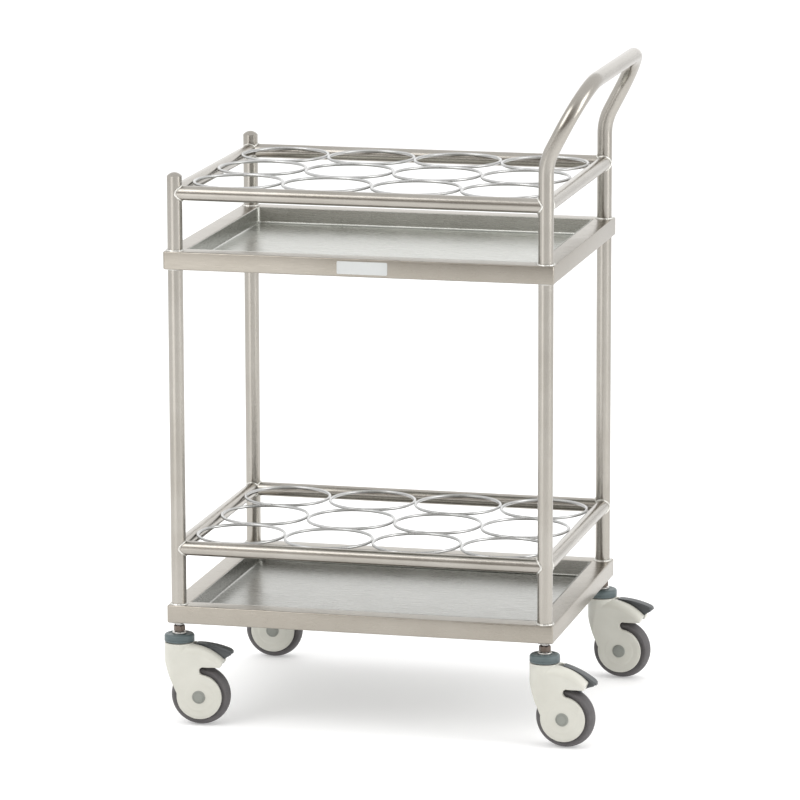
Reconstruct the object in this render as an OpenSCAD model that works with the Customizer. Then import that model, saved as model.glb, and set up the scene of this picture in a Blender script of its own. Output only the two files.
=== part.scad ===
// Two-tier stainless instrument cart on four swivel casters.
// Each tier is a boxed rim with a recessed tray and, above it, a rack of touching wire rings.
// Frame: millimetres, +Z up from the floor, +X towards the push handle, -Y towards the front.

/* [Frame] */
// Distance between post axes along the cart
post_span_x = 619; // [450:1:800]
// Distance between post axes across the cart
post_span_y = 469; // [350:1:600]
// Outside diameter of the posts and handle tube
post_d = 25; // [19:0.1:32]
// Wall of the posts and handle tube
post_wall = 1.5; // [1:0.1:3]
// Height of the post feet above the floor
post_foot_z = 171; // [150:1:220]
// Height of the two short posts' open ends
short_post_z = 919; // [850:1:1000]
// Rise of the domed post caps
cap_rise = 6; // [3:0.5:10]

/* [Handle] */
// Height where the handle legs would kink if they had no bend
handle_kink_z = 963; // [930:1:1000]
// Lean of the handle from the vertical, degrees
handle_lean = 27.5; // [15:0.5:45]
// Length from the kink to the crossbar axis
handle_leg = 138; // [100:1:180]
// Centreline radius of the lower bends
lean_bend_r = 90; // [50:1:120]
// Centreline radius of the two corner bends
corner_bend_r = 85; // [50:1:95]

/* [Tiers] */
// Underside of the lower rim above the floor
lower_rim_z = 173; // [160:1:220]
// Underside of the upper rim above the floor
upper_rim_z = 766; // [650:1:850]
// Height of the boxed rims
rim_h = 30; // [20:1:40]
// Width of the boxed rims
rim_w = 33; // [28:1:40]
// Sheet thickness of the boxed rims
rim_wall = 1.5; // [1:0.1:2.5]
// Depth of the tray floor below the top of the rim
tray_depth = 27; // [15:1:28]
// Sheet thickness of the trays
tray_wall = 1.2; // [0.8:0.1:2]
// Height of the weld bead around each post
bead_h = 2; // [1:0.5:4]

/* [Ring racks] */
// Height of the rail axes above the underside of the rim
rack_rise = 125; // [90:1:160]
// Outside diameter of the rack rails
rail_d = 24; // [18:0.1:24.5]
// Wall of the rack rails
rail_wall = 1.5; // [1:0.1:3]
// Wire diameter of the rings
wire_d = 5; // [3:0.5:8]
// Distance between ring centres
ring_pitch = 150; // [120:1:180]
// Gap left between neighbouring rings
ring_gap = 0.1; // [0.1:0.1:1]

/* [Plate] */
// Length of the blank plate on the upper rim
plate_l = 84; // [60:1:110]
// Height of the blank plate
plate_h = 21; // [14:1:26]
// Thickness of the blank plate
plate_t = 0.8; // [0.5:0.1:1.5]
// Offset of the blank plate from the middle, towards the handle
plate_shift = 9; // [-50:1:50]

/* [Caster] */
// Wheel diameter over the tyre
wheel_d = 100; // [90:1:125]
// Trail of the wheel axle behind the swivel axis
trail = 36; // [25:1:45]
// Rest angle of the two left casters, degrees
swivel_left = 4; // [-30:1:30]
// Rest angle of the two right casters, degrees
swivel_right = -5; // [-30:1:30]
// Diameter of the fork head and of its dark cover
head_d = 50; // [40:1:60]
// Top of the fork head above the floor
head_top_z = 138.8; // [130:0.1:150]
// Top of the dark cover above the floor
cover_top_z = 153; // [145:0.5:165]
// Half width of the fork at the wheel discs
fork_half_w = 21; // [20:0.5:24]
// Half width of the wheel pocket
pocket_half_w = 16; // [15:0.5:18]
// Radius of the disc that covers the wheel centre
disc_r = 38; // [30:0.5:42]
// Clear radius of the wheel pocket
pocket_r = 53.5; // [52:0.5:58]
// Radius of the hood's crown
hood_r = 86; // [75:0.5:90]
// Stem diameter
stem_d = 12; // [10:0.5:14]
// Axle diameter
axle_d = 8; // [6:0.5:10]
// Running clearance on the radius of a moving bore
run_gap = 0.05; // [0.02:0.01:0.1]

/* [Brake] */
// Travel of the pedal from up to pressed, degrees
pedal_travel = 14; // [10:0.5:20]
// Half width of the pedal pad
pad_half_w = 9; // [6:0.5:14]
// Half width of the pedal web
web_half_w = 6; // [4:0.5:8]
// Pedal pin diameter
pedal_pin_d = 4; // [3:0.5:6]

/* [Output] */
// Name of the piece to draw, or all

/* [Hidden] */
$fn = 96;
eps = 0.5;
px = post_span_x / 2;
py = post_span_y / 2;
x_shift = -(trail + wheel_d / 2 - head_d / 2) / 2;
rim_x = post_span_x + rim_w;
rim_y = post_span_y + rim_w;
bay_x = rim_x - 2 * rim_w;
bay_y = rim_y - 2 * rim_w;
rail_r = rail_d / 2;
wire_r = wire_d / 2;
ring_r = ring_pitch / 2 - wire_r - ring_gap / 2;
ring_inset = px - 2 * ring_pitch + ring_gap / 2 + wire_r;
ring_touch = 0.02;
ring_rise = sqrt(pow(rail_r + wire_r + ring_touch, 2) - ring_inset * ring_inset);
wheel_z = wheel_d / 2;
wheel_r = wheel_d / 2;
bead_w = 2.5;
bend_inset = 0.1;
bend_lap = 0.5;
lean_t = lean_bend_r * tan(handle_lean / 2);
leg_straight = handle_leg - lean_t - corner_bend_r;
// fork outline points, in the caster's own frame
head_r = head_d / 2;
hood_x = 16;
hood_z = 52;
shoulder_r = 16;
fork_top_w = head_r - 0.2;
fork_lean_z = 122;
leg_top = [-head_r, 110];
leg_low = [-2, 55];
tip_top = [79, 118];
tip_low = [72, 100];
slot_roof_z = 101;
slot_end = [43.8, 94.3];
slot_end_r = 7;
hinge_x = 29;
hinge_z = 124;
web_slot_w = web_half_w + 1;
pin_head_r = 9;
pin_head_top = 105;
pin_head_h = 4;
washer_t = 1.4;
rest_gap = 0.3;
pad_cx = 0.8;
pad_cz = -5.35;
pad_r = 146.7;
pad_t = 4;
pad_start_x = 33;
pad_tip_x = 88;
pad_corner = 4;
axle_r = axle_d / 2;
bush_r = 8;
core_r = 40;
tyre_half_w = 14;
core_half_w = 13;
bush_half_w = 15.4;
disc_rise = 1.2;
hub_cap_r = 11;
hub_cap_h = 2.4;
hub_dome_r = 30;
core_rim_half_w = 11;
core_dish = 4;
nut_across = 20;
nut_h = 10;
nut_rise = 4;
flange_d = 23;
flange_h = 3;
cover_bevel = 3.5;
swivel_washer_d = 40;
socket_h = 32;
stem_reach = 26;
cap_tenon = 12;
pedal_pin_half_w = 15;
pedal_eye_r = 5;
shoe_gap = 0.8;
hood_gap = 0.6;
inner_disc_r = 24;
disc_step = 4;
tyre_crown_r = 22;

// ---- shared shapes ----

module pipe(d, wall, h) {
  difference() {
    cylinder(d = d, h = h);
    translate([0, 0, -eps]) cylinder(d = d - 2 * wall, h = h + 2 * eps);
  }
}

// a bend's section, a hair inside the straight pipe's wall so that the two merge cleanly
module bend_section() {
  difference() {
    circle(d = post_d - 2 * bend_inset);
    circle(d = post_d - 2 * post_wall + 2 * bend_inset);
  }
}

// sx and sy pick a corner: -1 left or front, +1 right or back
module at_post(sx, sy) {
  translate([x_shift + sx * px, sy * py, 0]) children();
}

module at_caster(sx, sy) {
  at_post(sx, sy) rotate([0, 0, sx < 0 ? swivel_left : swivel_right]) children();
}

module at_all_posts() {
  for (sx = [-1, 1])
    for (sy = [-1, 1])
      at_post(sx, sy) children();
}

// a cylinder across the caster, centred on its middle plane
module across(x, z, r, half_w) {
  translate([x, half_w, z]) rotate([90, 0, 0]) cylinder(r = r, h = 2 * half_w);
}

// a flat side outline, x to the trailing side and y up, given a width across the caster
module side_plate(half_w) {
  translate([0, half_w, 0]) rotate([90, 0, 0]) linear_extrude(2 * half_w) children();
}

// ---- posts and handle ----

module short_post(sy) {
  color("silver")
    at_post(-1, sy) translate([0, 0, post_foot_z])
      pipe(post_d, post_wall, short_post_z - post_foot_z);
}

// the front leaning leg's frame: origin where its bend ends, +Z up along the leg
module on_leg() {
  at_post(1, -1)
    translate([lean_bend_r * (1 - cos(handle_lean)), 0,
               handle_kink_z - lean_t + lean_bend_r * sin(handle_lean)])
      rotate([0, handle_lean, 0]) children();
}

module handle_half() {
  at_post(1, -1) {
    translate([0, 0, post_foot_z])
      pipe(post_d, post_wall, handle_kink_z - lean_t - post_foot_z + bend_lap);
    translate([lean_bend_r, 0, handle_kink_z - lean_t])
      rotate([90, 0, 0]) rotate([0, 0, 180 - handle_lean])
        rotate_extrude(angle = handle_lean) translate([lean_bend_r, 0]) bend_section();
  }
  on_leg() {
    translate([0, 0, -bend_lap]) pipe(post_d, post_wall, leg_straight + 2 * bend_lap);
    translate([0, corner_bend_r, leg_straight])
      rotate([90, 0, 90]) rotate([0, 0, 90])
        rotate_extrude(angle = 90) translate([corner_bend_r, 0]) bend_section();
  }
}

module handle_tube() {
  color("silver") {
    handle_half();
    mirror([0, 1, 0]) handle_half();
    on_leg()
      translate([0, corner_bend_r - bend_lap, leg_straight + corner_bend_r]) rotate([-90, 0, 0])
        pipe(post_d, post_wall, 2 * (py - corner_bend_r + bend_lap));
  }
}

module post_cap() {
  dome_r = (post_d * post_d / 4 + cap_rise * cap_rise) / (2 * cap_rise);
  intersection() {
    translate([0, 0, cap_rise - dome_r]) sphere(r = dome_r);
    cylinder(d = post_d, h = cap_rise + 1);
  }
  translate([0, 0, -cap_tenon]) cylinder(d = post_d - 2 * post_wall, h = cap_tenon + 0.01);
}

module post_caps() {
  color("silver")
    for (sy = [-1, 1])
      at_post(-1, sy) translate([0, 0, short_post_z]) post_cap();
}

// ---- tiers ----

module block(x, y, h) {
  translate([x_shift - x / 2, -y / 2, 0]) cube([x, y, h]);
}

module rim(z) {
  color("silver") {
    difference() {
      translate([0, 0, z]) block(rim_x, rim_y, rim_h);
      translate([0, 0, z - 1]) block(bay_x, bay_y, rim_h + 2);
      difference() {
        translate([0, 0, z + rim_wall])
          block(rim_x - 2 * rim_wall, rim_y - 2 * rim_wall, rim_h - 2 * rim_wall);
        translate([0, 0, z - 1]) block(bay_x + 2 * rim_wall, bay_y + 2 * rim_wall, rim_h + 2);
      }
      at_all_posts() translate([0, 0, z - 1]) cylinder(d = post_d, h = rim_h + 2);
    }
    at_all_posts() translate([0, 0, z + rim_h]) rotate_extrude()
      polygon([[post_d / 2, 0], [post_d / 2 + bead_w, 0], [post_d / 2, bead_h]]);
  }
}

module tray(z) {
  floor_z = z + rim_h - tray_depth;
  color("gainsboro")
    difference() {
      translate([0, 0, floor_z - tray_wall]) block(bay_x, bay_y, tray_depth + tray_wall);
      translate([0, 0, floor_z])
        block(bay_x - 2 * tray_wall, bay_y - 2 * tray_wall, tray_depth + 1);
    }
}

module blank_plate() {
  color("whitesmoke")
    translate([x_shift + plate_shift - plate_l / 2, -rim_y / 2 - plate_t,
               upper_rim_z + (rim_h - plate_h) / 2])
      cube([plate_l, plate_t, plate_h]);
}

// ---- ring racks ----

// a rail whose ends are cut to lie on round posts, and on the rack's side (inner = 1 or -1 in Y)
// to meet the next rail on the corner line
module rail(span, inner) {
  difference() {
    intersection() {
      translate([-span / 2, 0, 0]) rotate([0, 90, 0]) pipe(rail_d, rail_wall, span);
      translate([0, 0, -rail_d]) linear_extrude(2 * rail_d)
        polygon([[-span / 2, -inner * rail_d], [span / 2, -inner * rail_d], [span / 2, 0],
                 [span / 2 - rail_d, inner * rail_d], [-span / 2 + rail_d, inner * rail_d],
                 [-span / 2, 0]]);
    }
    for (s = [-1, 1])
      translate([s * span / 2, 0, -rail_d]) cylinder(d = post_d, h = 2 * rail_d);
  }
}

module rail_x(sy, z) {
  color("silver") translate([x_shift, sy * py, z + rack_rise]) rail(post_span_x, -sy);
}

module rail_y(sx, z) {
  color("silver")
    translate([x_shift + sx * px, 0, z + rack_rise]) rotate([0, 0, 90]) rail(post_span_y, sx);
}

module ring_row(row, z) {
  color("silver")
    for (i = [0 : 3])
      translate([x_shift + (i - 1.5) * ring_pitch, row * ring_pitch, z + rack_rise + ring_rise])
        rotate_extrude() translate([ring_r, 0]) circle(d = wire_d, $fn = 24);
}

// ---- caster mountings ----

module stem_sockets() {
  color("dimgray")
    at_all_posts() translate([0, 0, post_foot_z]) difference() {
      cylinder(d = post_d - 2 * post_wall, h = socket_h);
      translate([0, 0, -1]) cylinder(d = stem_d, h = socket_h + 2);
    }
}

module caster_stems() {
  color("darkgray")
    at_all_posts() {
      translate([0, 0, pin_head_top - pin_head_h]) cylinder(r = pin_head_r, h = pin_head_h);
      translate([0, 0, pin_head_top - 1]) cylinder(d = stem_d, h = post_foot_z + stem_reach - pin_head_top);
    }
}

module stem_nuts() {
  color("gray")
    at_all_posts() {
      translate([0, 0, cover_top_z + nut_rise]) difference() {
        cylinder(d = nut_across, h = nut_h, $fn = 6);
        translate([0, 0, -1]) cylinder(d = stem_d, h = nut_h + 2);
      }
      translate([0, 0, cover_top_z]) difference() {
        cylinder(d = flange_d, h = flange_h);
        translate([0, 0, -1]) cylinder(d = stem_d, h = flange_h + 2);
      }
    }
}

module head_covers() {
  base = head_top_z + rest_gap + washer_t;
  color("slategray")
    at_all_posts() rotate_extrude()
      difference() {
        translate([stem_d / 2, base]) square([(head_d - stem_d) / 2, cover_top_z - base]);
        translate([head_d / 2, cover_top_z]) rotate(45) square(cover_bevel, center = true);
      }
}

module swivel_washers() {
  color("darkgray")
    at_all_posts() translate([0, 0, head_top_z + rest_gap]) difference() {
      cylinder(d = swivel_washer_d, h = washer_t);
      translate([0, 0, -1]) cylinder(d = stem_d, h = washer_t + 2);
    }
}

// ---- caster, drawn about its swivel axis with the trailing side along +X ----

module hood() {
  // crown with rounded shoulders, turned about a line across the caster
  translate([hood_x, 0, hood_z]) rotate([90, 0, 0]) rotate_extrude() {
    translate([0, -head_r]) square([hood_r - shoulder_r, head_d]);
    translate([0, shoulder_r - head_r]) square([hood_r, head_d - 2 * shoulder_r]);
    for (s = [-1, 1])
      translate([hood_r - shoulder_r, s * (head_r - shoulder_r)]) circle(r = shoulder_r);
  }
}

// everything inside the fork's side outline, except the wheel disc
module fork_outline() {
  polygon([[-head_r - 5, head_top_z], [-head_r - 5, leg_top[1] + 12], leg_top, leg_low, [trail, leg_low[1]],
           [tip_low[0] - 6, 72], tip_low, tip_top, [tip_top[0], head_top_z]]);
}

// the crescent between hood and wheel disc
module crescent() {
  difference() {
    polygon([[trail, wheel_z], slot_end, [slot_end[0], slot_roof_z], [120, slot_roof_z + 1], [120, wheel_z]]);
    translate([trail, wheel_z]) circle(r = disc_r);
  }
  translate(slot_end) circle(r = slot_end_r);
}

module fork() {
  color("ivory")
    difference() {
      union() {
        intersection() {
          union() {
            translate([0, 0, 50]) cylinder(d = head_d, h = head_top_z - 50);
            intersection() {
              hood();
              translate([0, -head_r, 0]) cube([100, head_d, 140]);
            }
          }
          side_plate(head_r + 1) fork_outline();
          // the sides lean in towards the wheel
          translate([-50, 0, 0]) rotate([90, 0, 90]) linear_extrude(150)
            polygon([[-fork_half_w, 0], [fork_half_w, 0], [fork_half_w, wheel_z],
                     [fork_top_w, fork_lean_z], [fork_top_w, 150], [-fork_top_w, 150],
                     [-fork_top_w, fork_lean_z],
                     [-fork_half_w, wheel_z]]);
        }
        // raised wheel discs
        across(trail, wheel_z, disc_r, fork_half_w);
        across(trail, wheel_z, disc_r - disc_step, fork_half_w + disc_rise / 2);
        across(trail, wheel_z, inner_disc_r, fork_half_w + disc_rise);
      }
      // wheel pocket
      across(trail, wheel_z, pocket_r, pocket_half_w);
      translate([-40, -pocket_half_w, -1]) cube([160, 2 * pocket_half_w, wheel_z]);
      side_plate(head_r + 5) crescent();
      // slot for the pedal's web
      side_plate(web_slot_w)
        polygon([[hinge_x - 7, hinge_z - 8], [hinge_x - 3, 150], [120, 150], [120, 70], [trail + 6, 80]]);
      // bores
      translate([0, 0, 80]) cylinder(r = stem_d / 2 + run_gap, h = 80);
      translate([0, 0, 80]) cylinder(r = pin_head_r + 0.5, h = pin_head_top + rest_gap - 80);
      across(trail, wheel_z, axle_r, fork_half_w + 5);
      across(hinge_x, hinge_z, pedal_pin_d / 2, pedal_pin_half_w);
    }
}

module axle() {
  color("darkgray") across(trail, wheel_z, axle_r, fork_half_w + disc_rise);
}

module hub_caps() {
  color("gray")
    for (s = [-1, 1])
      translate([trail, s * (fork_half_w + disc_rise), wheel_z]) rotate([-s * 90, 0, 0])
        intersection() {
          cylinder(r = hub_cap_r, h = hub_cap_h);
          translate([0, 0, hub_cap_h - hub_dome_r]) sphere(r = hub_dome_r);
        }
}

module pedal_pin() {
  color("darkgray") across(hinge_x, hinge_z, pedal_pin_d / 2, pedal_pin_half_w);
}

module core() {
  color("gainsboro")
    difference() {
      union() {
        across(trail, wheel_z, core_r, core_rim_half_w);
        across(trail, wheel_z, core_r - 5, core_half_w);
      }
      across(trail, wheel_z, bush_r, core_half_w + 1);
      for (s = [-1, 1])
        translate([trail, s * core_half_w, wheel_z]) rotate([s * 90, 0, 0])
          difference() {
            translate([0, 0, -1]) cylinder(r = core_r - 9, h = core_dish + 1);
            translate([0, 0, -2]) cylinder(r = bush_r + 4, h = core_dish + 3);
          }
    }
}

module tyre() {
  color("dimgray")
    translate([trail, 0, wheel_z]) rotate([90, 0, 0]) rotate_extrude()
      difference() {
        intersection() {
          translate([core_r - 5.2, -tyre_half_w]) square([wheel_r - core_r + 5.2, 2 * tyre_half_w]);
          union() {
            translate([wheel_r - tyre_crown_r, 0]) circle(r = tyre_crown_r);
            translate([0, -tyre_half_w]) square([wheel_r - tyre_crown_r, 2 * tyre_half_w]);
          }
        }
        translate([0, -core_rim_half_w]) square([core_r, 2 * core_rim_half_w]);
        translate([0, -core_half_w]) square([core_r - 5, 2 * core_half_w]);
      }
}

module bush() {
  color("darkgray")
    difference() {
      across(trail, wheel_z, bush_r, bush_half_w);
      across(trail, wheel_z, axle_r + run_gap, bush_half_w + 1);
    }
}

// the pedal as it stands when pressed
module pedal_pressed() {
  difference() {
    union() {
      // pad, lying just clear of the hood
      intersection() {
        side_plate(pad_half_w) difference() {
          intersection() {
            translate([pad_cx, pad_cz]) circle(r = pad_r);
            polygon([[pad_start_x, 120], [pad_start_x + 1, 150], [pad_tip_x + 6, 150], [pad_tip_x, 100]]);
          }
          translate([pad_cx, pad_cz]) circle(r = pad_r - pad_t);
          translate([hood_x, hood_z]) circle(r = hood_r + hood_gap);
        }
        linear_extrude(150)
          polygon([[0, -pad_half_w - 1], [pad_tip_x - pad_corner, -pad_half_w - 1],
                   [pad_tip_x + 1, pad_corner - pad_half_w], [pad_tip_x + 1, pad_half_w - pad_corner],
                   [pad_tip_x - pad_corner, pad_half_w + 1], [0, pad_half_w + 1]]);
      }
      // web and brake shoe
      side_plate(web_half_w) {
        difference() {
          intersection() {
            translate([pad_cx, pad_cz]) circle(r = pad_r - 1);
            polygon([[hinge_x, hinge_z - 4], [hinge_x, hinge_z + 4], [pad_start_x + 3, 150],
                     [pad_tip_x - 3, 150], [pad_tip_x - 3, 105.5], [75, 102.5], [66, 97], [60, 92], [44, 100],
                     [42, 112]]);
          }
          translate([trail, wheel_z]) circle(r = wheel_r + shoe_gap);
        }
        translate([hinge_x, hinge_z]) circle(r = pedal_eye_r);
      }
    }
    across(hinge_x, hinge_z, pedal_pin_d / 2 + run_gap, web_half_w + 1);
  }
}

module pedal(raised) {
  color("darkslategray")
    translate([hinge_x, 0, hinge_z]) rotate([0, raised ? -pedal_travel : 0, 0])
      translate([-hinge_x, 0, -hinge_z]) pedal_pressed();
}

// ---- output ----

short_post(-1);  // post_front_left
short_post(1);  // post_back_left
handle_tube();
post_caps();
rim(upper_rim_z);  // upper_rim
rim(lower_rim_z);  // lower_rim
tray(upper_rim_z);  // upper_tray
tray(lower_rim_z);  // lower_tray
blank_plate();
rail_x(-1, upper_rim_z);  // upper_rail_front
rail_x(1, upper_rim_z);  // upper_rail_back
rail_y(-1, upper_rim_z);  // upper_rail_left
rail_y(1, upper_rim_z);  // upper_rail_right
rail_x(-1, lower_rim_z);  // lower_rail_front
rail_x(1, lower_rim_z);  // lower_rail_back
rail_y(-1, lower_rim_z);  // lower_rail_left
rail_y(1, lower_rim_z);  // lower_rail_right
ring_row(-1, upper_rim_z);  // upper_rings_front
ring_row(0, upper_rim_z);  // upper_rings_middle
ring_row(1, upper_rim_z);  // upper_rings_back
ring_row(-1, lower_rim_z);  // lower_rings_front
ring_row(0, lower_rim_z);  // lower_rings_middle
ring_row(1, lower_rim_z);  // lower_rings_back
stem_sockets();
caster_stems();
stem_nuts();
head_covers();
swivel_washers();
at_caster(-1, -1) fork();  // fork_front_left
at_caster(1, -1) fork();  // fork_front_right
at_caster(-1, 1) fork();  // fork_back_left
at_caster(1, 1) fork();  // fork_back_right
at_caster(-1, -1) axle();  // axle_front_left
at_caster(1, -1) axle();  // axle_front_right
at_caster(-1, 1) axle();  // axle_back_left
at_caster(1, 1) axle();  // axle_back_right
at_caster(-1, -1) hub_caps();  // hub_caps_front_left
at_caster(1, -1) hub_caps();  // hub_caps_front_right
at_caster(-1, 1) hub_caps();  // hub_caps_back_left
at_caster(1, 1) hub_caps();  // hub_caps_back_right
at_caster(-1, -1) pedal_pin();  // pedal_pin_front_left
at_caster(1, -1) pedal_pin();  // pedal_pin_front_right
at_caster(-1, 1) pedal_pin();  // pedal_pin_back_left
at_caster(1, 1) pedal_pin();  // pedal_pin_back_right
at_caster(-1, -1) core();  // core_front_left
at_caster(1, -1) core();  // core_front_right
at_caster(-1, 1) core();  // core_back_left
at_caster(1, 1) core();  // core_back_right
at_caster(-1, -1) tyre();  // tyre_front_left
at_caster(1, -1) tyre();  // tyre_front_right
at_caster(-1, 1) tyre();  // tyre_back_left
at_caster(1, 1) tyre();  // tyre_back_right
at_caster(-1, -1) bush();  // bush_front_left
at_caster(1, -1) bush();  // bush_front_right
at_caster(-1, 1) bush();  // bush_back_left
at_caster(1, 1) bush();  // bush_back_right
at_caster(-1, -1) pedal(true);  // pedal_front_left
at_caster(1, -1) pedal(false);  // pedal_front_right
at_caster(-1, 1) pedal(true);  // pedal_back_left
at_caster(1, 1) pedal(true);  // pedal_back_right
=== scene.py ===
import math

import bmesh
import bpy
from mathutils import Matrix, Vector

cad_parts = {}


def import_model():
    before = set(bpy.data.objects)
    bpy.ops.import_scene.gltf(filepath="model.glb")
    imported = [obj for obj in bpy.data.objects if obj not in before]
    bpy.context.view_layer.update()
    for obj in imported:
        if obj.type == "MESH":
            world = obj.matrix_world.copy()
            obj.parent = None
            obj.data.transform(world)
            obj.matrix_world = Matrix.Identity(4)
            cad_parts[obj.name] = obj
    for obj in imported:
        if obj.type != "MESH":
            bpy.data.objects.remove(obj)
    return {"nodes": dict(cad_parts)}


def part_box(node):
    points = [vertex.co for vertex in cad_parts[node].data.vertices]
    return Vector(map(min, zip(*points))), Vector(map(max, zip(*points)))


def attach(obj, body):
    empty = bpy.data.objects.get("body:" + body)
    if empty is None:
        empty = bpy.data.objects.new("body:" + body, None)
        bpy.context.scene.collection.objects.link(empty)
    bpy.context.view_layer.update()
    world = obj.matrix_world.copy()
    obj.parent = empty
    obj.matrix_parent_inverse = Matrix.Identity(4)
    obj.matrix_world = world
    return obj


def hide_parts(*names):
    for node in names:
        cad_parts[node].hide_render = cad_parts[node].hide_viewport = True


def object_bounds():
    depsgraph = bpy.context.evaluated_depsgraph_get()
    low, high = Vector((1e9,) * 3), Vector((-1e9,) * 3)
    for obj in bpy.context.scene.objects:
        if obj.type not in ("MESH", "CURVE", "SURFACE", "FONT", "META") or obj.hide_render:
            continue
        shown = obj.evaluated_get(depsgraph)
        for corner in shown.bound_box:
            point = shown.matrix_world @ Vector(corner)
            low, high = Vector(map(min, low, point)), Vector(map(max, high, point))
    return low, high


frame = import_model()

CAD_BOX = [list(v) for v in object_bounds()]
NODES = frame["nodes"]
CORNERS = ("front_left", "front_right", "back_left", "back_right")
TIERS = ("upper", "lower")
UP = Vector((0, 0, 1))

# The cart's own sizes, in metres, as in the CAD. Positions come from the frame.
POST_R = 0.0125                 # posts and handle tube
TUBE_WALL = 0.0015
RAIL_R = 0.012
WIRE_R = 0.0025
RING_PITCH = 0.150
RINGS_PER_ROW = 4
RIM_W = 0.033                   # the rims' box section
RIM_H = 0.030
TRAY_WALL = 0.0012
TRAY_DEPTH = 0.027
KINK_Z = 0.963                  # where the handle's upright line meets its leaning one
LEAN = math.radians(27.5)
LEG = 0.138                     # along the lean, from the kink to the push bar's axis
LEAN_BEND_R = 0.090
CORNER_BEND_R = 0.085
STEM_BORE_R = 0.00605           # the hole for the caster's stem in nut, washer and cover
NUT_H = 0.010
WASHER_R = 0.0115
WASHER_H = 0.003
COVER_R = 0.025
HUB_CAP_R = 0.011
TYRE_HALF_W = 0.014


# ---------- material helpers ----------

def new_material(name):
    m = bpy.data.materials.new(name)
    m.use_nodes = True
    nt = m.node_tree
    return m, nt, nt.nodes["Principled BSDF"]


def add(nt, kind, **inputs):
    n = nt.nodes.new(kind)
    for k, v in inputs.items():
        n.inputs[k].default_value = v
    return n


def coords(nt, scale=(1, 1, 1)):
    """Object coordinates stretched by scale, so a pattern is long where scale is small."""
    tc = nt.nodes.new("ShaderNodeTexCoord")
    mp = add(nt, "ShaderNodeMapping", Scale=scale)
    nt.links.new(tc.outputs["Object"], mp.inputs["Vector"])
    return mp.outputs["Vector"]


def noise(nt, vector, scale, detail, rough):
    n = add(nt, "ShaderNodeTexNoise", Scale=scale, Detail=detail, Roughness=rough)
    nt.links.new(vector, n.inputs["Vector"])
    return n.outputs["Fac"]


def spread(nt, fac, out_low, out_high, low=0.3, high=0.7):
    """Maps low..high, by default where most of a noise lies, to out_low..out_high, clamped."""
    n = nt.nodes.new("ShaderNodeMapRange")
    for k, v in (("From Min", low), ("From Max", high), ("To Min", out_low), ("To Max", out_high)):
        n.inputs[k].default_value = v
    nt.links.new(fac, n.inputs["Value"])
    return n.outputs["Result"]


def tint(nt, fac, dark, light):
    n = nt.nodes.new("ShaderNodeMix")
    n.data_type = "RGBA"
    n.inputs["A"].default_value = (*dark, 1)
    n.inputs["B"].default_value = (*light, 1)
    nt.links.new(fac, n.inputs["Factor"])
    return n.outputs["Result"]


def bump(nt, height, strength, distance, under=None):
    """The normal of a bump, on top of another bump's normal if one is given."""
    n = add(nt, "ShaderNodeBump", Strength=strength, Distance=distance)
    nt.links.new(height, n.inputs["Height"])
    if under:
        nt.links.new(under, n.inputs["Normal"])
    return n.outputs["Normal"]


# ---------- materials ----------

def steel(name, grain, dark, light, rough, depth=0.00002, wave=0.0):
    """Satin stainless: polishing lines along the axis where grain is small, waves in thin sheet."""
    m, nt, bsdf = new_material(name)
    bsdf.inputs["Metallic"].default_value = 1.0
    lines = noise(nt, coords(nt, grain), 1.0, 4.0, 0.6)
    cloud = noise(nt, coords(nt), 9.0, 3.0, 0.55)
    nt.links.new(tint(nt, spread(nt, cloud, 0, 1), dark, light), bsdf.inputs["Base Color"])
    mix = nt.nodes.new("ShaderNodeMath")
    mix.operation = "MULTIPLY"
    nt.links.new(spread(nt, lines, rough * 0.8, rough * 1.25), mix.inputs[0])
    nt.links.new(spread(nt, cloud, 0.92, 1.08), mix.inputs[1])
    nt.links.new(mix.outputs["Value"], bsdf.inputs["Roughness"])
    sheet = bump(nt, noise(nt, coords(nt), 5.0, 1.0, 0.4), 1.0, wave) if wave else None
    nt.links.new(bump(nt, lines, 0.35, depth, sheet), bsdf.inputs["Normal"])
    return m


def plastic(name, dark, light, rough, grain=900.0, depth=0.00002, coat=0.0):
    """Moulded plastic: slight cloudiness and a fine spark-eroded texture."""
    m, nt, bsdf = new_material(name)
    cloud = noise(nt, coords(nt), 22.0, 4.0, 0.55)
    fine = noise(nt, coords(nt), grain, 2.0, 0.5)
    nt.links.new(tint(nt, spread(nt, cloud, 0, 1), dark, light), bsdf.inputs["Base Color"])
    nt.links.new(spread(nt, fine, rough * 0.85, rough * 1.15), bsdf.inputs["Roughness"])
    bsdf.inputs["Coat Weight"].default_value = coat
    bsdf.inputs["Coat Roughness"].default_value = 0.25
    nt.links.new(bump(nt, fine, 0.3, depth), bsdf.inputs["Normal"])
    return m


def rubber(name, dark, light):
    """Tyre rubber with a dusty bloom and fine scuffs."""
    m, nt, bsdf = new_material(name)
    dust = noise(nt, coords(nt), 60.0, 6.0, 0.65)
    scuff = noise(nt, coords(nt, (300, 40, 300)), 1.0, 3.0, 0.6)
    nt.links.new(tint(nt, spread(nt, dust, 0, 1, 0.35, 0.75), dark, light),
                 bsdf.inputs["Base Color"])
    nt.links.new(spread(nt, dust, 0.5, 0.75), bsdf.inputs["Roughness"])
    nt.links.new(bump(nt, scuff, 0.3, 0.00006), bsdf.inputs["Normal"])
    return m


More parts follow.
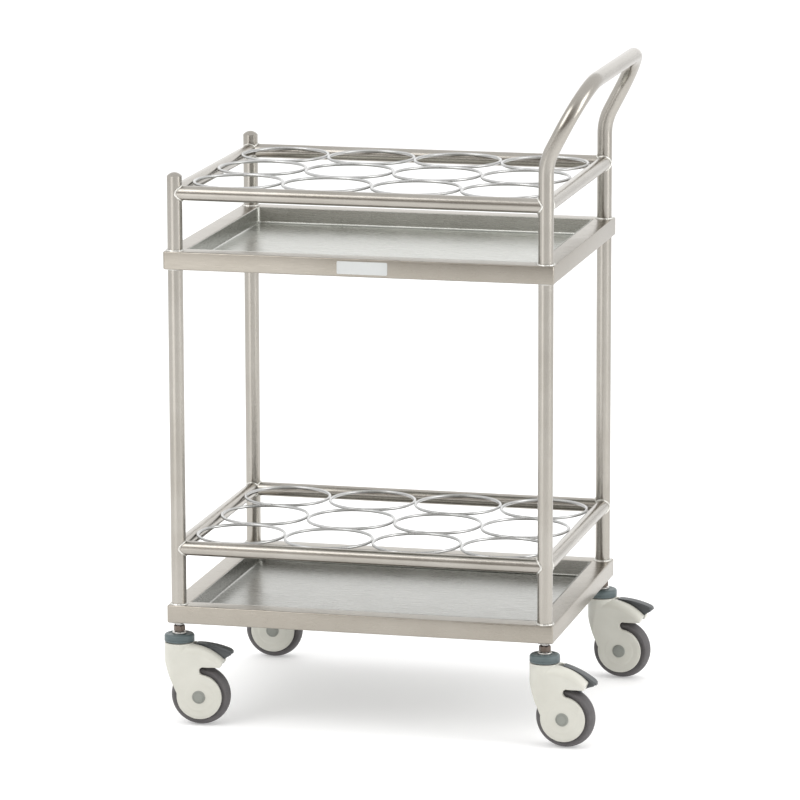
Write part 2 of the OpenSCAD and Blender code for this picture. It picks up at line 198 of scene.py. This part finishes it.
def make_materials():
    """Every material by its short name. Colours go from dark to light."""
    fine, long = 2600.0, 26.0
    tube = ((0.345, 0.324, 0.290), (0.415, 0.394, 0.360), 0.25)
    even = (900, 900, 900)
    rough_weld = (700, 700, 700)
    return {
        "tube_z": steel("tube_steel_upright", (fine, fine, long), *tube),
        "tube_x": steel("tube_steel_along", (long, fine, fine), *tube),
        "tube_y": steel("tube_steel_across", (fine, long, fine), *tube),
        "rim": steel("rim_steel", (40, 900, 900), (0.315, 0.290, 0.250), (0.365, 0.338, 0.298),
                     0.30, 0.00002, 0.0005),
        "tray": steel("tray_steel", (30, 700, 700), (0.44, 0.445, 0.415), (0.485, 0.49, 0.46),
                      0.27, 0.000015, 0.0004),
        # A darker copy of the tray steel for the lower tray: painted shade, standing for the shadow
        # that the upper tier casts on it.
        "tray_painted_shade": steel("tray_steel_painted_shade", (30, 700, 700), (0.335, 0.335, 0.315),
                          (0.38, 0.38, 0.36), 0.27, 0.000015, 0.0004),
        "wire": steel("wire_steel", (500, 500, 500), (0.47, 0.47, 0.465), (0.56, 0.56, 0.555), 0.3),
        "wire_weld": steel("wire_weld_steel", rough_weld, (0.50, 0.50, 0.49), (0.62, 0.62, 0.61),
                           0.34, 0.00006),
        "weld": steel("weld_steel", rough_weld, (0.60, 0.59, 0.55), (0.76, 0.75, 0.72),
                      0.36, 0.00008),
        "plate": plastic("plate_face", (0.50, 0.515, 0.51), (0.55, 0.565, 0.56), 0.42, 500.0),
        "fastener": steel("fastener_steel", even, (0.10, 0.078, 0.064), (0.17, 0.14, 0.12), 0.38),
        "washer": steel("washer_steel", even, (0.62, 0.60, 0.57), (0.70, 0.68, 0.65), 0.3),
        "pin": steel("pin_steel", (1500, 1500, 1500), (0.34, 0.33, 0.32), (0.44, 0.43, 0.42), 0.3),
        "socket": plastic("socket_plastic", (0.03, 0.03, 0.03), (0.05, 0.05, 0.05), 0.5),
        "caster": plastic("caster_plastic", (0.52, 0.515, 0.46), (0.57, 0.565, 0.51), 0.34,
                          700.0, 0.000015, 0.2),
        "cover": plastic("cover_plastic", (0.070, 0.096, 0.100), (0.095, 0.125, 0.130), 0.40),
        "pedal": plastic("pedal_plastic", (0.050, 0.055, 0.058), (0.078, 0.084, 0.086), 0.45,
                         600.0, 0.00004),
        "hub": plastic("hub_cap_plastic", (0.205, 0.215, 0.195), (0.255, 0.265, 0.240), 0.4),
        "core": plastic("core_plastic", (0.60, 0.59, 0.53), (0.66, 0.65, 0.59), 0.4),
        "bush": plastic("bush_plastic", (0.5, 0.5, 0.47), (0.56, 0.56, 0.53), 0.4),
        "tyre": rubber("tyre_rubber", (0.075, 0.07, 0.072), (0.12, 0.113, 0.115)),
    }


# Each CAD node's material by the start of the node's name; the first that fits is used.
NODE_MATERIALS = (
    ("post", "tube_z"), ("handle_tube", "tube_z"), ("upper_rim", "rim"), ("lower_rim", "rim"),
    ("upper_tray", "tray"), ("lower_tray", "tray_painted_shade"), ("blank_plate", "plate"),
    ("stem_sockets", "socket"), ("caster_stems", "pin"), ("stem_nuts", "fastener"),
    ("head_covers", "cover"), ("swivel_washers", "washer"), ("fork", "caster"), ("axle", "pin"),
    ("hub_caps", "hub"), ("pedal_pin", "pin"), ("core", "core"), ("tyre", "tyre"),
    ("bush", "bush"), ("pedal", "pedal"))


def node_material(node):
    if "_rail_" in node:
        return "tube_x" if node.endswith(("front", "back")) else "tube_y"
    if "_rings_" in node:
        return "wire"
    return next(key for start, key in NODE_MATERIALS if node.startswith(start))


def paint_nodes(mats):
    for node, o in NODES.items():
        o.data.materials.clear()
        o.data.materials.append(mats[node_material(node)])


# ---------- mesh helpers ----------

def shade(o, angle):
    """Smooth shading, with edges sharper than angle kept sharp."""
    bm = bmesh.new()
    bm.from_mesh(o.data)
    limit = math.radians(angle)
    for f in bm.faces:
        f.smooth = True
    for e in bm.edges:
        e.smooth = len(e.link_faces) == 2 and e.calc_face_angle(0.0) < limit
    bm.to_mesh(o.data)
    bm.free()


def piece(name, bm, material, body, sharp):
    """A new piece of the cart from bm, riding on body; edges over sharp degrees stay sharp."""
    bmesh.ops.recalc_face_normals(bm, faces=bm.faces)
    me = bpy.data.meshes.new(name)
    bm.to_mesh(me)
    bm.free()
    me.materials.append(material)
    o = bpy.data.objects.new(name, me)
    bpy.context.scene.collection.objects.link(o)
    shade(o, sharp)
    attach(o, body)
    return o


def form(node, bm, material, body, sharp):
    """A piece that stands for a CAD node."""
    o = piece(node + "_form", bm, material, body, sharp)
    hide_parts(node)
    return o


def apply_modifiers(o):
    bpy.context.view_layer.update()
    dg = bpy.context.evaluated_depsgraph_get()
    me = bpy.data.meshes.new_from_object(o.evaluated_get(dg))
    old = o.data
    o.modifiers.clear()
    o.data = me
    bpy.data.meshes.remove(old)


# ---------- places ----------

def centre(node):
    lo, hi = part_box(node)
    return (lo + hi) / 2


def post_axis(corner):
    """The point on the floor under a post, or under the handle's upright on the right."""
    if corner.endswith("left"):
        c = centre("post_" + corner)
        return Vector((c.x, c.y, 0))
    lo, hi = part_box("handle_tube")
    y = lo.y + POST_R if corner.startswith("front") else hi.y - POST_R
    return Vector((lo.x + POST_R, y, 0))


def caster_frame(corner):
    """The caster's own frame: origin on the floor under its stem, +X towards its wheel."""
    foot = post_axis(corner)
    to_axle = centre("axle_" + corner) - foot
    return Matrix.Translation(foot) @ Matrix.Rotation(math.atan2(to_axle.y, to_axle.x), 4, "Z")


def axle_frame(corner):
    """Z along the axle, origin at the wheel's middle."""
    return (Matrix.Translation(centre("axle_" + corner)) @ caster_frame(corner).to_3x3().to_4x4()
            @ Matrix.Rotation(math.radians(90), 4, "X"))


# ---------- building blocks ----------

def circle(n):
    """The cosine and sine of n even steps round a circle."""
    return [(math.cos(2 * math.pi * i / n), math.sin(2 * math.pi * i / n)) for i in range(n)]


def loft(bm, loops, around=False, caps=False):
    """Joins rings of equal length with quads; around closes the last ring to the first."""
    rings = [[bm.verts.new(p) for p in loop] for loop in loops]
    n = len(rings[0])
    pairs = list(zip(rings, rings[1:])) + ([(rings[-1], rings[0])] if around else [])
    for a, b in pairs:
        for i in range(n):
            bm.faces.new((a[i], a[(i + 1) % n], b[(i + 1) % n], b[i]))
    if caps:
        bm.faces.new(rings[0][::-1])
        bm.faces.new(rings[-1])


def rounded_rect(at, hx, hy, r, z, n=6):
    """A level rounded rectangle about at, with half sizes hx and hy."""
    out = []
    for k, (sx, sy) in enumerate(((1, 1), (-1, 1), (-1, -1), (1, -1))):
        for i in range(n + 1):
            t = math.radians(90 * (k + i / n))
            out.append(Vector((at.x + sx * (hx - r) + r * math.cos(t),
                               at.y + sy * (hy - r) + r * math.sin(t), z)))
    return out


def fillet(cx, cz, r, start, end, n=5):
    """Points of an arc, angles in degrees."""
    angles = [math.radians(start + (end - start) * i / n) for i in range(n + 1)]
    return [(cx + r * math.cos(a), cz + r * math.sin(a)) for a in angles]


def turned(bm, profile, at, n=96, around=True):
    """Turns a profile of (radius, height) about at's Z; its ends meet, or else are capped."""
    loops = [[at @ Vector((r * c, r * s, h)) for c, s in circle(n)] for r, h in profile]
    loft(bm, loops, around=around, caps=not around)


def bead(bm, points, outs, r, pitch=4, n=8):
    """A weld bead along a closed curve, with the ripple that a run of weld leaves."""
    loops = []
    m = len(points)
    for i, p in enumerate(points):
        tangent = (points[(i + 1) % m] - points[i - 1]).normalized()
        side = tangent.cross(outs[i]).normalized()
        up = side.cross(tangent).normalized()
        swell = r * (0.86 + 0.2 * abs(math.sin(math.pi * i / pitch)) + 0.06 * math.sin(2.3 * i))
        loops.append([p + swell * (c * up + s * side) for c, s in circle(n)])
    loft(bm, loops, around=True)


def blob(bm, at, along, length, r, seed, n=10, m=7):
    """A lumpy weld spot, longer along one direction."""
    along = along.normalized()
    side = along.orthogonal().normalized()
    up = along.cross(side)
    loops = []
    for j in range(1, m):
        t = math.pi * j / m
        girth = r * math.sin(t) * (1 + 0.13 * math.sin(1.7 * seed + 2.1 * j))
        middle = at + along * (-length * math.cos(t))
        loops.append([middle + (side * c + up * s) * (girth * (1 + 0.08 * math.sin(3 * i + seed)))
                      for i, (c, s) in enumerate(circle(n))])
    loft(bm, loops, caps=True)


# ---------- frame pieces ----------

def rim(tier, mats):
    """A boxed rim with rounded edges, mitred at the corners."""
    node = tier + "_rim"
    lo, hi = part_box(node)
    at, hx, hy = (lo + hi) / 2, (hi.x - lo.x) / 2, (hi.y - lo.y) / 2
    low, top = lo.z, lo.z + RIM_H
    edge, corner_r, inner_corner_r = 0.0022, 0.0034, 0.0010
    less = corner_r - inner_corner_r
    section = (fillet(edge, low + edge, edge, 270, 180) + fillet(edge, top - edge, edge, 180, 90)
               + fillet(RIM_W - edge, top - edge, edge, 90, 0)
               + fillet(RIM_W - edge, low + edge, edge, 0, -90))
    bm = bmesh.new()
    loft(bm, [rounded_rect(at, hx - d, hy - d, corner_r - less * d / RIM_W, z)
              for d, z in section], around=True)
    form(node, bm, mats["rim"], "frame", 50)


def rim_welds(tier, mats):
    """Beads round the posts on top of a rim, and finer ones under it."""
    lo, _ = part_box(tier + "_rim")
    bead_r, finer, off_post = 0.0023, 0.7, 0.0006
    outs = [Vector((c, s, 0)) for c, s in circle(72)]
    bm = bmesh.new()
    for corner in CORNERS:
        foot = post_axis(corner)
        for z, tall in ((lo.z + RIM_H, 1.0), (lo.z, finer)):
            points = [Vector((foot.x, foot.y, z)) + u * (POST_R + off_post) for u in outs]
            bead(bm, points, outs, bead_r * tall)
    piece(tier + "_rim_welds", bm, mats["weld"], "frame", 60)


def rail_welds(tier, mats):
    """Beads where the rack's rails meet the posts."""
    bead_r, off_post, off_rail = 0.0017, 0.0004, 0.0002
    bm = bmesh.new()
    for corner in CORNERS:
        foot = post_axis(corner)
        front = corner.startswith("front")
        x = Vector((1 if corner.endswith("left") else -1, 0, 0))
        y = Vector((0, 1 if front else -1, 0))
        rail = tier + ("_rail_front" if front else "_rail_back")
        meet = Vector((foot.x, foot.y, centre(rail).z))
        for along, across in ((x, y), (y, x)):
            points, outs = [], []
            for c, s in circle(56):
                w, h = RAIL_R * c, RAIL_R * s
                reach = math.sqrt(POST_R ** 2 - w * w)
                out = across * c + UP * s
                points.append(meet + across * w + UP * h + along * (reach + off_post)
                              + out * off_rail)
                outs.append(out)
            bead(bm, points, outs, bead_r)
    piece(tier + "_rail_welds", bm, mats["weld"], "frame", 60)


def ring_welds(tier, mats):
    """Spots of weld where the rings touch each other and the rails."""
    spot_r, between_rings, on_rail = 0.0026, 0.0065, 0.006
    along_x, along_y = Vector((1, 0, 0)), Vector((0, 1, 0))
    bm = bmesh.new()
    rows = [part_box(f"{tier}_rings_{r}") for r in ("front", "middle", "back")]
    z = (rows[0][0].z + rows[0][1].z) / 2
    ring_r = (rows[0][1].y - rows[0][0].y) / 2
    xs = [rows[0][0].x + ring_r + i * RING_PITCH for i in range(RINGS_PER_ROW)]
    ys = [(lo.y + hi.y) / 2 for lo, hi in rows]
    seed = 0
    for y in ys:
        for x in xs:
            seed += 1
            if x != xs[-1]:
                at = Vector((x + RING_PITCH / 2, y, z))
                blob(bm, at, along_y, between_rings, spot_r, seed)
            if y != ys[-1]:
                at = Vector((x, y + RING_PITCH / 2, z))
                blob(bm, at, along_x, between_rings, spot_r, seed + 0.5)
    drop = (z - centre(tier + "_rail_front").z) * WIRE_R / (WIRE_R + RAIL_R)
    for s, y in ((-1, ys[0]), (1, ys[-1])):
        for x in xs:
            seed += 1
            blob(bm, Vector((x, y + s * ring_r, z - drop)), along_x, on_rail, spot_r, seed)
    for s, x in ((-1, xs[0]), (1, xs[-1])):
        for y in ys:
            seed += 1
            blob(bm, Vector((x + s * ring_r, y, z - drop)), along_y, on_rail, spot_r, seed)
    piece(tier + "_ring_welds", bm, mats["wire_weld"], "frame", 60)


def tray(tier, mats):
    """A folded sheet tray with rounded folds and a rolled top edge."""
    node = tier + "_tray"
    lo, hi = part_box(node)
    at, hx, hy = (lo + hi) / 2, (hi.x - lo.x) / 2, (hi.y - lo.y) / 2
    floor_z, top, w, bend = hi.z - TRAY_DEPTH, hi.z, TRAY_WALL, 0.004
    corner_r, least_r = 0.006, 0.0015
    section = (fillet(bend + w, floor_z + bend, bend + w, 270, 180)
               + fillet(w / 2, top - w / 2, w / 2, 180, 0, 6)
               + fillet(w + bend, floor_z + bend, bend, 180, 270) + [(w + 3 * bend, floor_z)])
    bm = bmesh.new()
    loft(bm, [rounded_rect(at, hx - d, hy - d, max(corner_r - d, least_r), z)
              for d, z in section], caps=True)
    # The lower tray takes the darker copy of the tray steel, which is painted shade from the upper
    # tier.
    form(node, bm, mats["tray" if tier == "upper" else "tray_painted_shade"], "frame", 50)


def plate(mats):
    """The blank plate: thin, with rounded corners and a slight raised border."""
    lo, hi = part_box("blank_plate")
    at, hx, hz, thick = (lo + hi) / 2, (hi.x - lo.x) / 2, (hi.z - lo.z) / 2, hi.y - lo.y
    to_front = Matrix.Translation((at.x, hi.y, at.z)) @ Matrix.Rotation(math.radians(90), 4, "X")
    corner_r, least_r, edge, sunk = 0.0022, 0.0008, 0.0002, 0.00025
    steps = ((0, 0), (0, thick - edge), (edge, thick), (0.0013, thick), (0.0016, thick - sunk),
             (0.004, thick - sunk))
    middle = Vector((0, 0, 0))
    bm = bmesh.new()
    loft(bm, [[to_front @ p
               for p in rounded_rect(middle, hx - d, hz - d, max(corner_r - d, least_r), h)]
              for d, h in steps], caps=True)
    form("blank_plate", bm, mats["plate"], "frame", 30)


def handle_path():
    """Centre line of the handle tube, from its front foot over the push bar to its back foot."""
    foot = post_axis("front_right")
    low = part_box("handle_tube")[0].z
    tangent = LEAN_BEND_R * math.tan(LEAN / 2)
    bend_z = KINK_Z - tangent
    points = [Vector((foot.x, foot.y, z)) for z in (low, low + 0.02, (low + bend_z) / 2, bend_z)]
    lean_steps, corner_steps = 10, 20
    for i in range(1, lean_steps + 1):
        a = LEAN * i / lean_steps
        points.append(Vector((foot.x + LEAN_BEND_R * (1 - math.cos(a)), foot.y,
                              bend_z + LEAN_BEND_R * math.sin(a))))
    up = Vector((math.sin(LEAN), 0, math.cos(LEAN)))
    corner = points[-1] + up * (LEG - tangent - CORNER_BEND_R)
    points.append(corner)
    for i in range(1, corner_steps + 1):
        a = math.pi / 2 * i / corner_steps
        points.append(corner + up * (CORNER_BEND_R * math.sin(a))
                      + Vector((0, CORNER_BEND_R * (1 - math.cos(a)), 0)))
    return points + [Vector((p.x, -p.y, p.z)) for p in reversed(points)]


def handle(mats):
    """The bent tube that is both right-hand posts and the push bar, its feet open a little way."""
    path = handle_path()
    last, open_depth = len(path) - 1, 0.01
    loops, side = [], Vector((1, 0, 0))
    for i, p in enumerate(path):
        tangent = (path[min(i + 1, last)] - path[max(i - 1, 0)]).normalized()
        side = (side - tangent * side.dot(tangent)).normalized()
        other = tangent.cross(side)
        around = [side * c + other * s for c, s in circle(40)]
        loops.append([p + u * POST_R for u in around])
        if i in (0, last):
            inner = [p + u * (POST_R - TUBE_WALL) for u in around]
            plug = [q + tangent * (open_depth if i == 0 else -open_depth) for q in inner]
            loops = [plug, inner] + loops if i == 0 else loops + [inner, plug]
    bm = bmesh.new()
    loft(bm, loops, caps=True)
    form("handle_tube", bm, mats["tube_z"], "frame", 50)


def stem_fasteners(mats):
    """Chamfered hexagon nuts on thin round washers."""
    lo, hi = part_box("stem_nuts")
    n, bore, edge, chamfer = 72, STEM_BORE_R, 0.0006, 0.0004
    half_flats, slope = 0.00866, math.tan(math.radians(28))
    low, top = hi.z - NUT_H, hi.z
    hexagon = [half_flats / math.cos(math.radians((360 * i / n) % 60 - 30)) for i in range(n)]
    drop = [chamfer + (r - half_flats) * slope for r in hexagon]

    def level(r, z):
        return [r] * n, [z] * n

    nut = (level(bore, low), level(half_flats - chamfer, low),
           (hexagon, [low + d for d in drop]), (hexagon, [top - d for d in drop]),
           level(half_flats - chamfer, top), level(bore + edge, top), level(bore, top - edge))
    soft = WASHER_R - edge
    washer = ([(bore, lo.z)] + fillet(soft, lo.z + edge, edge, 270, 360, 3)
              + fillet(soft, lo.z + WASHER_H - edge, edge, 0, 90, 3) + [(bore, lo.z + WASHER_H)])
    bm = bmesh.new()
    washer_faces = []
    for corner in CORNERS:
        foot = post_axis(corner)
        loft(bm, [[Vector((foot.x + r * c, foot.y + r * s, z))
                   for (c, s), r, z in zip(circle(n), radii, heights)]
                  for radii, heights in nut], around=True)
        before = len(bm.faces)
        turned(bm, washer, Matrix.Translation(foot), n)
        washer_faces += range(before, len(bm.faces))
    bm.faces.ensure_lookup_table()
    for i in washer_faces:
        bm.faces[i].material_index = 1
    o = form("stem_nuts", bm, mats["fastener"], "frame", 35)
    o.data.materials.append(mats["washer"])


def covers(mats):
    """Dark caster head covers: turned, with a soft shoulder, a shadow groove and a dished top."""
    lo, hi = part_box("head_covers")
    top, low, bore, soft = hi.z, lo.z, STEM_BORE_R, 0.0042
    groove, fine, dish = low + 0.0032, 0.0005, 0.0006
    profile = ([(bore, low), (COVER_R - fine, low), (COVER_R, low + fine), (COVER_R, groove),
                (COVER_R - fine, groove + 0.0003), (COVER_R - fine, groove + 0.0007),
                (COVER_R, groove + 0.001)]
               + fillet(COVER_R - soft, top - soft, soft, 0, 90, 8)
               + [(0.0172, top), (0.0164, top - dish), (0.0122, top - dish), (0.0118, top),
                  (bore, top)])
    bm = bmesh.new()
    for corner in CORNERS:
        turned(bm, profile, Matrix.Translation(post_axis(corner)))
    form("head_covers", bm, mats["cover"], "frame", 35)


# ---------- caster pieces ----------

def softened(node, voxel, rounds):
    """The node's own shape as a moulded one: no sharp edges and an even mesh."""
    me = NODES[node].data.copy()
    o = bpy.data.objects.new(node + "_form", me)
    bpy.context.scene.collection.objects.link(o)
    bm = bmesh.new()
    bm.from_mesh(me)
    bmesh.ops.remove_doubles(bm, verts=bm.verts, dist=0.00001)
    bm.to_mesh(me)
    bm.free()
    grain = o.modifiers.new("grain", "REMESH")
    grain.mode = "VOXEL"
    grain.voxel_size = voxel
    ease = o.modifiers.new("ease", "SMOOTH")
    ease.factor = 0.5
    ease.iterations = rounds
    apply_modifiers(o)
    return o


def finish_moulding(o, node, body, material):
    o.data.materials.clear()
    o.data.materials.append(material)
    for f in o.data.polygons:
        f.use_smooth = True
    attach(o, body)
    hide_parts(node)


def forks(mats):
    """One fork is softened; the other three are turned copies of it."""
    first = softened("fork_front_left", 0.00085, 5)
    home = caster_frame("front_left").inverted()
    for corner in CORNERS:
        node = "fork_" + corner
        o = first
        if corner != "front_left":
            o = bpy.data.objects.new(node + "_form", first.data.copy())
            o.data.transform(caster_frame(corner) @ home)
            bpy.context.scene.collection.objects.link(o)
        finish_moulding(o, node, "fork_body_" + corner, mats["caster"])


def pedals(mats):
    for corner in CORNERS:
        node = "pedal_" + corner
        finish_moulding(softened(node, 0.0006, 4), node, "pedal_body_" + corner,
                        mats["pedal"])


def hub_caps(corner, mats):
    """Domed hub caps with a shallow ring groove."""
    node = "hub_caps_" + corner
    to_caster = caster_frame(corner).inverted()
    ys = [(to_caster @ v.co).y for v in NODES[node].data.vertices]
    base = min(abs(y) for y in ys)
    height = max(ys) - base
    r, tip = HUB_CAP_R, 0.0008
    groove_out, groove_in, groove_h = 0.0084, 0.0078, height * 0.52
    profile = [(tip, 0), (r, 0), (r, height * 0.25), (r - 0.0006, groove_h),
               (0.0088, height * 0.70), (groove_out, groove_h), (groove_in, groove_h),
               (0.0074, height * 0.80), (0.0045, height * 0.95), (tip, height)]
    bm = bmesh.new()
    for s in (1, -1):
        at = (axle_frame(corner) @ Matrix.Diagonal((1, 1, s, 1))
              @ Matrix.Translation((0, 0, base)))
        turned(bm, profile, at, 64, around=False)
    form(node, bm, mats["hub"], "fork_body_" + corner, 35)


def tyre(corner, mats):
    """A crowned tread with a moulding line, round shoulders and a rib on each sidewall."""
    node = "tyre_" + corner
    lo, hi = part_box(node)
    outer, half = (hi.z - lo.z) / 2, TYRE_HALF_W
    seat, seat_w, deep, lip, lip_w = 0.040, 0.011, 0.035, 0.0348, 0.013
    crown, soft, edge, rib = 0.022, 0.003, 0.0006, 0.0005
    line_h, line_w, line_top = 0.00027, 0.0009, 0.0004
    arc = math.asin((half - soft) / (crown - soft))
    middle = outer - 0.00025 - crown
    right = [(lip, lip_w), (lip, half - edge), (lip + edge, half), (0.0385, half),
             (0.0389, half), (0.0392, half - rib), (0.0400, half - rib), (0.0403, half)]
    right += fillet(middle + (crown - soft) * math.cos(arc), half - soft, soft,
                    90, math.degrees(arc), 6)
    steps = 9
    for i in range(1, steps):
        a = arc * (1 - i / steps)
        right.append((middle + crown * math.cos(a), crown * math.sin(a)))
    right += [(outer - line_h, line_w), (outer - 0.00002, line_top)]
    profile = right + [(r, -y) for r, y in reversed(right)]
    profile += [(deep, -lip_w), (deep, -seat_w), (seat, -seat_w),
                (seat, seat_w), (deep, seat_w), (deep, lip_w)]
    bm = bmesh.new()
    turned(bm, profile, axle_frame(corner), 128)
    form(node, bm, mats["tyre"], "wheel_body_" + corner, 35)


# ---------- camera, light, floor ----------

def camera():
    """The photograph's view: from far off with a long lens, a little to the right and above."""
    azimuth, elevation, roll = (math.radians(a) for a in (13.74, 11.4, -0.16))
    distance, lens, off_centre = 8.709, 234.45, Vector((-0.0226, 0, -0.0340))
    lo, hi = (Vector(v) for v in CAD_BOX)
    target = (lo + hi) / 2 + off_centre
    back = Vector((math.sin(azimuth) * math.cos(elevation),
                   -math.cos(azimuth) * math.cos(elevation), math.sin(elevation)))
    cam = bpy.data.objects.new("camera", bpy.data.cameras.new("camera"))
    bpy.context.scene.collection.objects.link(cam)
    cam.location = target + back * distance
    turn = (-back).to_track_quat("-Z", "Y").to_matrix()
    cam.rotation_euler = (turn @ Matrix.Rotation(roll, 3, "Z")).to_euler()
    cam.data.lens = lens
    cam.data.sensor_width = 36.0
    cam.data.clip_end = 100.0
    bpy.context.scene.camera = cam


def world():
    """A bright studio, darker and warmer on the side that the viewer stands on."""
    w = bpy.data.worlds.new("studio")
    bpy.context.scene.world = w
    w.use_nodes = True
    nt = w.node_tree
    bg = nt.nodes["Background"]
    tc = nt.nodes.new("ShaderNodeTexCoord")
    sep = nt.nodes.new("ShaderNodeSeparateXYZ")
    nt.links.new(tc.outputs["Generated"], sep.inputs["Vector"])
    away = spread(nt, sep.outputs["Y"], 0.0, 1.0, -0.96, -0.5)
    nt.links.new(tint(nt, away, (0.34, 0.31, 0.28), (1.0, 1.0, 1.0)), bg.inputs["Color"])
    bg.inputs["Strength"].default_value = 1.1


def floor():
    """A plain pale floor, lifted to white by a little light of its own."""
    bm = bmesh.new()
    bmesh.ops.create_grid(bm, x_segments=1, y_segments=1, size=40.0)
    me = bpy.data.meshes.new("floor")
    bm.to_mesh(me)
    bm.free()
    m, nt, bsdf = new_material("floor")
    cloud = noise(nt, coords(nt), 0.6, 2.0, 0.5)
    nt.links.new(tint(nt, cloud, (0.74, 0.74, 0.74), (0.76, 0.76, 0.76)),
                 bsdf.inputs["Base Color"])
    bsdf.inputs["Emission Color"].default_value = (1, 1, 1, 1)
    bsdf.inputs["Emission Strength"].default_value = 0.30
    bsdf.inputs["Roughness"].default_value = 0.8
    bsdf.inputs["Specular IOR Level"].default_value = 0.2
    me.materials.append(m)
    o = bpy.data.objects.new("floor", me)
    bpy.context.scene.collection.objects.link(o)


# Soft lights and cards: name, place, point aimed at, size in metres, watts, and whether the
# cart mirrors it. The top light isn't mirrored, or it would be a glare in the trays.
LIGHTS = (
    ("key", (-2.2, -2.6, 3.4), (0, 0, 0.5), (2.6, 2.6), 60, True),
    ("top", (0.2, 0.3, 3.6), (0, 0, 0.4), (3.0, 3.0), 45, False),
    ("right", (3.2, -0.6, 1.6), (0, 0, 0.6), (1.6, 2.4), 35, True),
    ("front_left_card", (-1.3, -2.2, 0.5), (-1.3, 0, 0.5), (1.4, 1.0), 3.6, True),
    ("back_card", (-1.5, 6.0, 2.1), (0, 0, 0.8), (7.0, 3.0), 24, True),
)


def lights():
    for name, at, aim, size, watts, mirrored in LIGHTS:
        d = bpy.data.lights.new(name, "AREA")
        d.shape = "RECTANGLE"
        d.size, d.size_y = size
        d.energy = watts
        o = bpy.data.objects.new(name, d)
        bpy.context.scene.collection.objects.link(o)
        o.visible_camera = False
        o.visible_glossy = mirrored
        o.location = at
        o.rotation_euler = (Vector(aim) - Vector(at)).to_track_quat("-Z", "Y").to_euler()


# ---------- build ----------

def build():
    mats = make_materials()
    paint_nodes(mats)
    for tier in TIERS:
        rim(tier, mats)
        rim_welds(tier, mats)
        rail_welds(tier, mats)
        ring_welds(tier, mats)
        tray(tier, mats)
    plate(mats)
    handle(mats)
    stem_fasteners(mats)
    covers(mats)
    forks(mats)
    pedals(mats)
    for corner in CORNERS:
        hub_caps(corner, mats)
        tyre(corner, mats)
    camera()
    world()
    floor()
    lights()
    bpy.context.scene.view_settings.view_transform = "Standard"


build()
